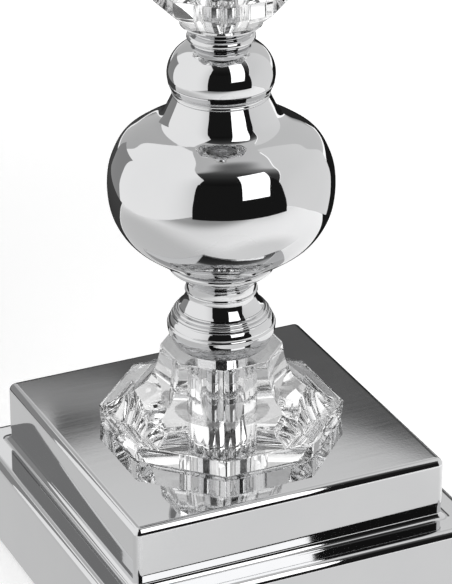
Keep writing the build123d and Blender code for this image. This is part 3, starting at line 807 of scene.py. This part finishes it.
def pool_mat(name, strength, centre, r0, r1):
    """Glow that is full within r0 of a point and gone beyond r1; set dimmer than the floor round it, it paints a pool
    of shadow.
    """
    m = bpy.data.materials.new(name)
    m.use_nodes = True
    nt = m.node_tree
    nt.nodes.clear()
    out = N(nt, "ShaderNodeOutputMaterial")
    em = N(nt, "ShaderNodeEmission")
    em.inputs["Strength"].default_value = strength
    clear = N(nt, "ShaderNodeBsdfTransparent")
    both = N(nt, "ShaderNodeMixShader")
    dist = N(nt, "ShaderNodeVectorMath", operation="DISTANCE")
    L(nt, coords(nt), dist.inputs[0])
    dist.inputs[1].default_value = centre
    L(nt, remap(nt, dist.outputs["Value"], r0, r1, 1.0, 0.0, True), both.inputs[0])
    L(nt, clear.outputs[0], both.inputs[1])
    L(nt, em.outputs[0], both.inputs[2])
    L(nt, both.outputs[0], out.inputs[0])
    return m


def polar(az, dist, z):
    """Point round the lamp: azimuth 0 toward -Y, 90 toward +X."""
    a = math.radians(az)
    return Vector((math.sin(a) * dist, -math.cos(a) * dist, z))


def card(name, corners, mat):
    ob = stage_plane(name, corners, mat)
    ob.visible_camera = False
    ob.visible_shadow = False
    return ob


def wall(name, az0, az1, dist, z0, z1, mat, n=12):
    """Curved card of even distance."""
    verts, faces = [], []
    for k in range(n + 1):
        az = az0 + (az1 - az0) * k / n
        verts += [tuple(polar(az, dist, z0)), tuple(polar(az, dist, z1))]
    for k in range(n):
        faces.append((2 * k, 2 * k + 2, 2 * k + 3, 2 * k + 1))
    me = bpy.data.meshes.new(name)
    me.from_pydata(verts, [], faces)
    me.materials.append(mat)
    ob = bpy.data.objects.new(name, me)
    col.objects.link(ob)
    ob.visible_camera = False
    ob.visible_shadow = False
    return ob


toward = Vector((math.sin(AZ), -math.cos(AZ), 0.0))      # from the lamp to the camera, level
up_z = Vector((0, 0, 1))


def panel(name, p, q, z0, z1, mat):
    return card(name, [p + up_z * z0, q + up_z * z0, q + up_z * z1, p + up_z * z1], mat)


# White panel on the left, level with the view; a second one from the right rear
# runs off to the front, with a bright upper edge.
# The left one stands back from a dim corner low at its rear end.
LEFT_D, LEFT_REAR, LEFT_FRONT, LEFT_STEP = 0.40, -0.43, 0.82, 0.36
glow_left = light_mat("glow_left", 1.14, 0.9, tuple(toward), 0.25, 0.85)
panel("card_left", right * -LEFT_D + toward * LEFT_REAR, right * -LEFT_D + toward * LEFT_FRONT, LEFT_STEP, 1.59, glow_left)
panel("card_left_base", right * -LEFT_D + toward * -0.19, right * -LEFT_D + toward * LEFT_FRONT, 0.0, LEFT_STEP, glow_left)
panel("card_left_low", right * -LEFT_D + toward * -0.60, right * -LEFT_D + toward * -0.19, 0.0, LEFT_STEP, light_mat("dim_left", 0.32))
RIGHT_P, RIGHT_D, RIGHT_TOP = 143.0 - 24.855, 0.287, 0.7525


def on_right(ra):
    return polar(ra - 24.855, RIGHT_D / math.cos(math.radians(ra - 143.0)), 0.0)


panel("card_right", on_right(133), on_right(64), 0.0, RIGHT_TOP, light_mat("glow_right", 0.95, 0.88, (0, 0, 1), 0.1, 0.6))
panel("card_right_edge", on_right(127), on_right(64), RIGHT_TOP, RIGHT_TOP + 0.022, light_mat("glow_edge", 1.5))
wall("card_front", -52, 40, 0.70, 0.0, 0.75, light_mat("dark_front", 0.012))
wall("card_rear", 138, 163, 1.0, 0.0, 0.32, light_mat("dark_rear", 0.025))
# Painted shadow: a dimmer patch on the floor beside the plinth's left side, seen only in reflections.
beside = card("floor_left_painted_shadow", [toward * f + right * l + up_z * 0.002 for f, l in ((-0.15, 0.13), (-0.15, -0.4), (0.32, -0.4), (0.32, 0.13))],
              pool_mat("painted_shadow_beside", 0.71, tuple(toward * -0.02 + right * -0.16), 0.13, 0.29))
beside.visible_diffuse = False
beside.visible_transmission = False
# Painted shadow: a dimmer pool on the floor in front of the plinth, seen only in reflections.
before = card("floor_front_painted_shadow", [(-0.12, -0.079, 0.0022), (0.22, -0.079, 0.0022), (0.22, -0.3, 0.0022), (-0.12, -0.3, 0.0022)],
              pool_mat("painted_shadow_before", 0.9, (0.05, -0.13, 0.0), 0.05, 0.15))
before.visible_diffuse = False
before.visible_transmission = False
behind = card("floor_rear_dark", [toward * f + right * l + up_z * 0.002 for f, l in ((-0.16, -0.9), (-2.6, -0.9), (-2.6, 0.9), (-0.16, 0.9))],
              light_mat("dark_behind", 0.07, 0.012, tuple(right), -0.35, 0.1))
behind.visible_diffuse = False
behind.visible_transmission = False
card("window_front", [(-0.038, -0.599, 0.348), (0.245, -0.548, 0.327), (0.468, -0.274, 1.2), (0.06, -0.385, 1.2)],
     light_mat("glow_window", 2.2))


dome_mesh = bpy.data.meshes.new("backdrop")
bm = bmesh.new()
bmesh.ops.create_uvsphere(bm, u_segments=48, v_segments=24, radius=8.5)
bm.to_mesh(dome_mesh)
bm.free()
dome_mesh.materials.append(light_mat("glow_backdrop", 0.94))
backdrop = bpy.data.objects.new("backdrop", dome_mesh)
col.objects.link(backdrop)
for ob in (floor, backdrop):
    ob.visible_glossy = ob.visible_diffuse = ob.visible_transmission = ob.visible_shadow = False


def make_world():
    """Studio beyond the cards, by azimuth (0 toward -Y, 90 toward +X) and height.
    The rear half overhead is lit; the front half falls away into the dark."""
    w = bpy.data.worlds.new("studio")
    bpy.context.scene.world = w
    w.use_nodes = True
    nt = w.node_tree
    nt.nodes.clear()
    out = N(nt, "ShaderNodeOutputWorld")
    bg = N(nt, "ShaderNodeBackground")
    L(nt, bg.outputs[0], out.inputs[0])
    tc = N(nt, "ShaderNodeTexCoord")
    sep = N(nt, "ShaderNodeSeparateXYZ")
    L(nt, tc.outputs["Generated"], sep.inputs[0])
    x, y, z = sep.outputs
    az = math_node(nt, "MULTIPLY", math_node(nt, "ARCTAN2", x, math_node(nt, "MULTIPLY", y, -1.0)), 180 / math.pi)
    el = math_node(nt, "MULTIPLY", math_node(nt, "ARCSINE", z), 180 / math.pi)
    turn = math_node(nt, "MODULO", math_node(nt, "ADD", az, 360.0), 360.0)

    def band(v, lo, hi, soft):
        return math_node(nt, "MULTIPLY", remap(nt, v, lo - soft, lo + soft, 0, 1, True), remap(nt, v, hi - soft, hi + soft, 1, 0, True))

    def mix(fac, a, b):
        return math_node(nt, "ADD", math_node(nt, "MULTIPLY", a, math_node(nt, "SUBTRACT", 1.0, fac)), math_node(nt, "MULTIPLY", b, fac))

    def along(v):
        return math_node(nt, "ADD", math_node(nt, "MULTIPLY", x, v[0]), math_node(nt, "MULTIPLY", y, v[1]))

    fwd, lat = along(toward), along(right)
    lit = remap(nt, lat, -0.6, 0.6, 0.72, 0.93, True)
    fall = N(nt, "ShaderNodeFloatCurve")
    for pos, val in ((0.05, 0.18), (0.12, 0.093), (0.31, 0.048), (0.55, 0.02)):
        fall.mapping.curves[0].points.new(pos, val)
    fall.mapping.curves[0].points[0].location = (0.0, 0.25)
    fall.mapping.curves[0].points[-1].location = (1.0, 0.012)
    fall.mapping.update()
    L(nt, fwd, fall.inputs["Value"])
    line = math_node(nt, "ADD", fwd, math_node(nt, "MULTIPLY", lat, 0.25))
    value = mix(remap(nt, line, -0.03, 0.06, 0, 1, True), lit, fall.outputs["Value"])
    off = math_node(nt, "SUBTRACT", turn, 155.0)
    edge = math_node(nt, "SUBTRACT", el, math_node(nt, "MULTIPLY", math_node(nt, "MULTIPLY", off, off), 0.04))
    edge = math_node(nt, "MAXIMUM", edge, math_node(nt, "SUBTRACT", el, 1.2))
    low = math_node(nt, "ADD", remap(nt, el, 12, 24, 0.025, 0.16, True),
                    math_node(nt, "MULTIPLY", band(turn, 157.2, 161, 0.4), math_node(nt, "MULTIPLY", band(el, 27.9, 28.5, 0.12), 0.27)))
    high = remap(nt, el, 29, 31, 0.95, 1.1)
    rear = mix(remap(nt, edge, 28.35, 28.95, 0, 1, True), low, high)
    value = mix(math_node(nt, "MULTIPLY", band(turn, 139, 167, 3), remap(nt, el, 36, 44, 1, 0, True)), value, rear)
    value = mix(math_node(nt, "MULTIPLY", band(turn, 198.5, 206, 1.5), remap(nt, el, 32, 34, 1, 0, True)), value, 0.36)
    value = mix(math_node(nt, "MULTIPLY", band(turn, 158.75, 160.5, 0.2), band(el, 28.55, 29.6, 0.15)), value, 1.3)
    L(nt, value, bg.inputs["Strength"])


make_world()

sc = bpy.context.scene
sc.view_settings.view_transform = "Standard"
sc.view_settings.look = "None"
sc.cycles.use_denoising = True
sc.cycles.max_bounces = 24
sc.cycles.glossy_bounces = 12
sc.cycles.transmission_bounces = 20
sc.cycles.transparent_max_bounces = 8
sc.cycles.caustics_reflective = True
sc.cycles.caustics_refractive = True
